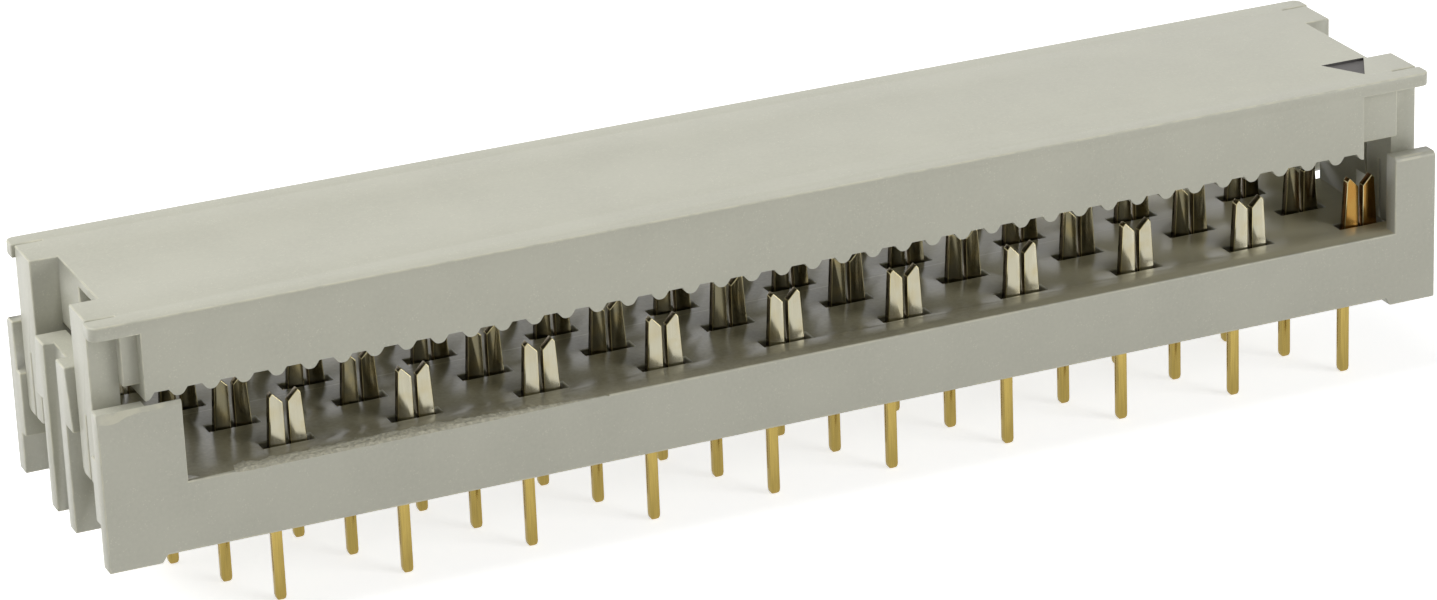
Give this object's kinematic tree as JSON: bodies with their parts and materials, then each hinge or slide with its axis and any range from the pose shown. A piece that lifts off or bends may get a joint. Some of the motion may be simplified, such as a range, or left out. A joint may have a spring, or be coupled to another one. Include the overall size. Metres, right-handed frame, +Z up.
{
  "type": "insulation displacement connector",
  "caption": "Board-mount ribbon cable connector: a grey moulded base with staggered rows of forked contacts and solder tails, under a press-down cover held raised.",
  "frame": {"origin": "middle of the block in plan, level with the tips of the solder tails", "axes": "+X along the row of wires, to the right in the picture; +Y along the cable, to the back; +Z up, the way the cover lifts"},
  "size_m": [0.0558, 0.0112, 0.0127],
  "materials": {
    "base_plastic": "grey glass-filled moulding, fine grain, satin",
    "cover_plastic": "grey glass-filled moulding, fine grain, satin",
    "contact_metal": "stamped copper alloy, gold-coloured tails and paler tinned forks"
  },
  "bodies": {
    "base": {"base_housing": "base_plastic", "contact_a01": "contact_metal", "contact_a02": "contact_metal", "contact_a03": "contact_metal", "contact_a04": "contact_metal", "contact_a05": "contact_metal", "contact_a06": "contact_metal", "contact_a07": "contact_metal", "contact_a08": "contact_metal", "contact_a09": "contact_metal", "contact_a10": "contact_metal", "contact_b01": "contact_metal", "contact_b02": "contact_metal", "contact_b03": "contact_metal", "contact_b04": "contact_metal", "contact_b05": "contact_metal", "contact_b06": "contact_metal", "contact_b07": "contact_metal", "contact_b08": "contact_metal", "contact_b09": "contact_metal", "contact_b10": "contact_metal", "contact_c01": "contact_metal", "contact_c02": "contact_metal", "contact_c03": "contact_metal", "contact_c04": "contact_metal", "contact_c05": "contact_metal", "contact_c06": "contact_metal", "contact_c07": "contact_metal", "contact_c08": "contact_metal", "contact_c09": "contact_metal", "contact_c10": "contact_metal", "contact_d01": "contact_metal", "contact_d02": "contact_metal", "contact_d03": "contact_metal", "contact_d04": "contact_metal", "contact_d05": "contact_metal", "contact_d06": "contact_metal", "contact_d07": "contact_metal", "contact_d08": "contact_metal", "contact_d09": "contact_metal", "contact_d10": "contact_metal"},
    "cover": {"cover": "cover_plastic"}
  },
  "joints": [
    {"name": "cover_press", "type": "slide", "parent": "base", "child": "cover", "axis": [0, 0, 1], "range_m": [-0.0026, 0]}
  ]
}
